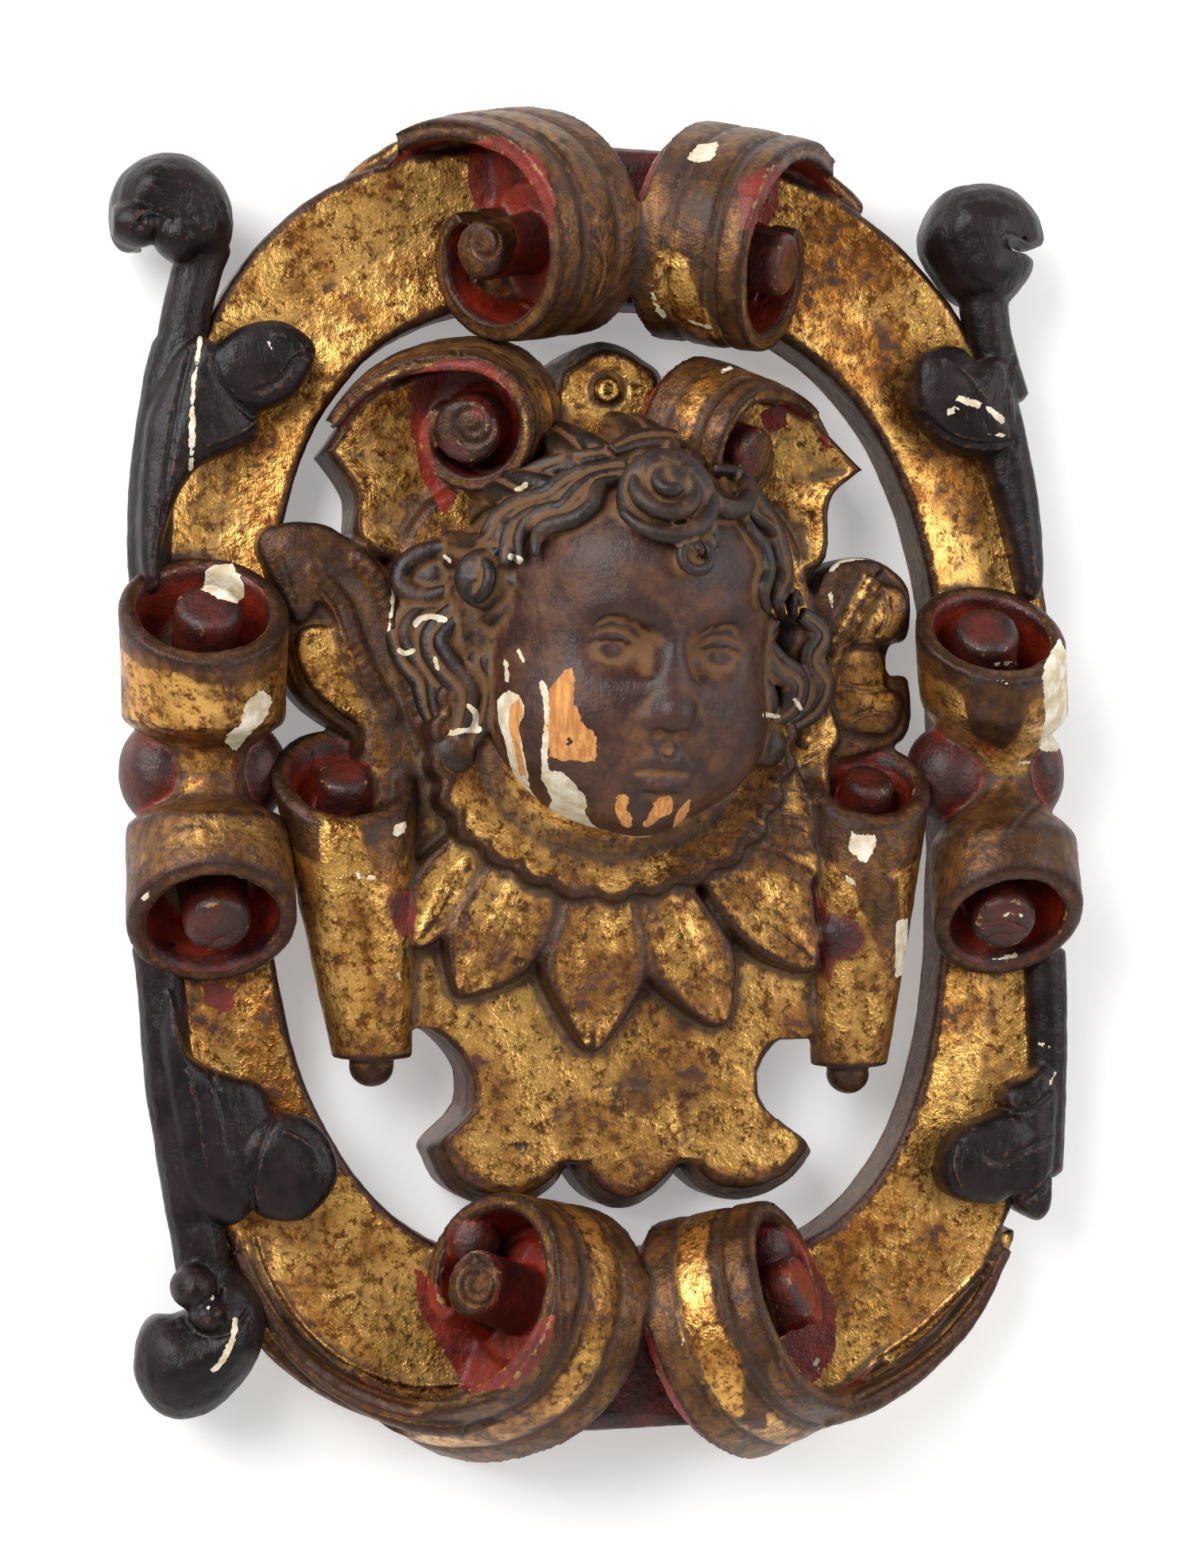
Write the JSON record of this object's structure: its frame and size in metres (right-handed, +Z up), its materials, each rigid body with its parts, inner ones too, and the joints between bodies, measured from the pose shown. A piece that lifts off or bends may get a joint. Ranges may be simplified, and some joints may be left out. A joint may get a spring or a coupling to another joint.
{
  "type": "carved parcel gilt wall plaque",
  "caption": "Openwork carved wooden wall plaque with a winged cherub head in a scrolled strapwork oval, painted and partly gilded.",
  "frame": {"origin": "on the flat back of the plaque, behind the cherub's head", "axes": "+Z up the plaque, +X across it to the viewer's right, -Y out of its front"},
  "size_m": [0.4378, 0.1367, 0.6073],
  "materials": {
    "parcel_gilt_wood": "carved wood with gesso, red clay, worn gilding and dark paint"
  },
  "bodies": {
    "root": {"carved_plaque": "parcel_gilt_wood"}
  },
  "joints": []
}
